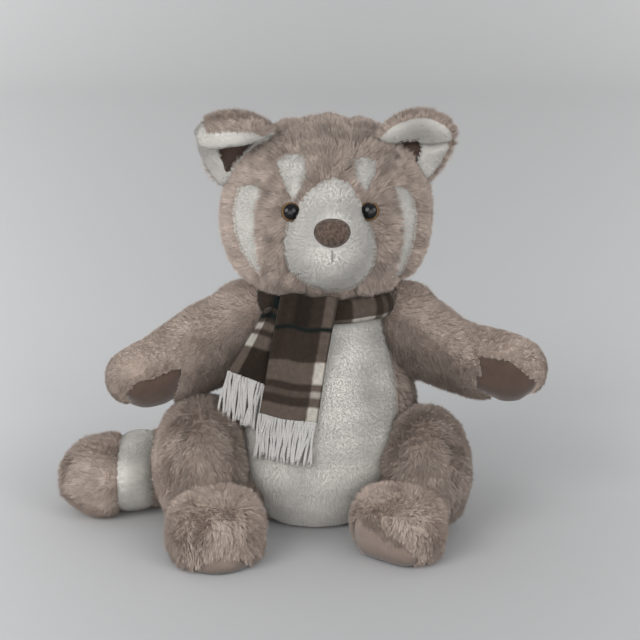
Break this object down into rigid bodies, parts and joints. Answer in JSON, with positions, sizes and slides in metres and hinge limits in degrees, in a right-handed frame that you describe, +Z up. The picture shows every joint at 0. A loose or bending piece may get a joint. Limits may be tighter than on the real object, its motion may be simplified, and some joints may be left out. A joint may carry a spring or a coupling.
{
  "type": "plush raccoon",
  "caption": "Seated stuffed animal of long taupe pile with white face, belly and tail band, suede pads, plastic eyes, flocked nose and a fringed plaid scarf.",
  "frame": {"origin": "on the flat seat under the torso, below the neck, at the level of the surface that the toy sits on", "axes": "+Z up, the face looks along -Y, +X to the right as seen from the front; left and right in names are as seen from the front"},
  "size_m": [0.386, 0.2212, 0.3265],
  "materials": {
    "taupe_plush": "long soft taupe pile",
    "white_plush": "short soft white pile",
    "fibre_filling": "loose polyester fibre",
    "brown_suede": "napped suede cloth",
    "beige_suede": "napped suede cloth",
    "eye_plastic": "glossy, amber ring round a black pupil",
    "washer_plastic": "plain moulded",
    "nose_flock": "short brown flock",
    "brown_thread": "sewing thread",
    "plaid_fleece": "brushed fleece in a brown, taupe and cream plaid",
    "white_yarn": "soft twisted yarn"
  },
  "bodies": {
    "torso": {"torso_left_panel": "taupe_plush", "torso_right_panel": "taupe_plush", "belly_panel": "white_plush", "seat_panel": "taupe_plush", "torso_stuffing": "fibre_filling", "scarf_wrap": "plaid_fleece"},
    "head": {"head_gusset": "taupe_plush", "head_left_panel": "taupe_plush", "head_right_panel": "taupe_plush", "left_cheek_patch": "white_plush", "right_cheek_patch": "white_plush", "left_brow_patch": "white_plush", "right_brow_patch": "white_plush", "muzzle": "white_plush", "head_stuffing": "fibre_filling", "nose": "nose_flock", "nose_washer": "washer_plastic", "mouth_stitch": "brown_thread", "left_eye": "eye_plastic", "right_eye": "eye_plastic", "left_eye_washer": "washer_plastic", "right_eye_washer": "washer_plastic"},
    "tail": {"tail_base": "taupe_plush", "tail_band": "white_plush", "tail_tip": "taupe_plush", "tail_stuffing": "fibre_filling"},
    "scarf_ends": {"scarf_front_end": "plaid_fleece", "scarf_rear_end": "plaid_fleece", "scarf_front_fringe": "white_yarn", "scarf_rear_fringe": "white_yarn"},
    "left_ear": {"left_ear_back": "taupe_plush", "left_ear_front": "white_plush", "left_ear_lining": "brown_suede"},
    "left_arm_body": {"left_arm": "taupe_plush", "left_paw_pad": "brown_suede", "left_arm_stuffing": "fibre_filling"},
    "left_leg": {"left_thigh": "taupe_plush", "left_foot": "taupe_plush", "left_sole": "beige_suede", "left_leg_stuffing": "fibre_filling"},
    "right_ear": {"right_ear_back": "taupe_plush", "right_ear_front": "white_plush", "right_ear_lining": "brown_suede"},
    "right_arm_body": {"right_arm": "taupe_plush", "right_paw_pad": "brown_suede", "right_arm_stuffing": "fibre_filling"},
    "right_leg": {"right_thigh": "taupe_plush", "right_foot": "taupe_plush", "right_sole": "beige_suede", "right_leg_stuffing": "fibre_filling"}
  },
  "joints": [
    {"name": "head_turn", "type": "hinge", "parent": "torso", "child": "head", "pos_m": [0, 0, 0.187], "axis": [0, 0, 1], "range_deg": [-35, 35]},
    {"name": "left_arm_raise", "type": "hinge", "parent": "torso", "child": "left_arm_body", "pos_m": [-0.057, 0, 0.154], "axis": [0, 1, 0], "range_deg": [-3, 45]},
    {"name": "right_arm_raise", "type": "hinge", "parent": "torso", "child": "right_arm_body", "pos_m": [0.057, 0, 0.154], "axis": [0, -1, 0], "range_deg": [-3, 45]},
    {"name": "left_leg_splay", "type": "hinge", "parent": "torso", "child": "left_leg", "pos_m": [-0.062, -0.002, 0], "axis": [0, 0, -1], "range_deg": [-8, 8]},
    {"name": "right_leg_splay", "type": "hinge", "parent": "torso", "child": "right_leg", "pos_m": [0.062, -0.002, 0], "axis": [0, 0, 1], "range_deg": [-8, 8]},
    {"name": "tail_swing", "type": "hinge", "parent": "torso", "child": "tail", "pos_m": [-0.03, 0.058, 0], "axis": [0, 0, -1], "range_deg": [0, 45]},
    {"name": "left_ear_flop", "type": "hinge", "parent": "head", "child": "left_ear", "pos_m": [-0.06637, 0.00711, 0.291], "axis": [0.6814, 0.0298, 0.7314], "range_deg": [-10, 10], "stiffness_Nm_per_rad": 0.02},
    {"name": "right_ear_flop", "type": "hinge", "parent": "head", "child": "right_ear", "pos_m": [0.0655, 0.01287, 0.291], "axis": [0.6814, 0.0298, -0.7314], "range_deg": [-10, 10], "stiffness_Nm_per_rad": 0.02},
    {"name": "scarf_ends_lift", "type": "hinge", "parent": "torso", "child": "scarf_ends", "pos_m": [-0.02, -0.058, 0.185], "axis": [-1, 0, 0], "range_deg": [0, 60]}
  ]
}
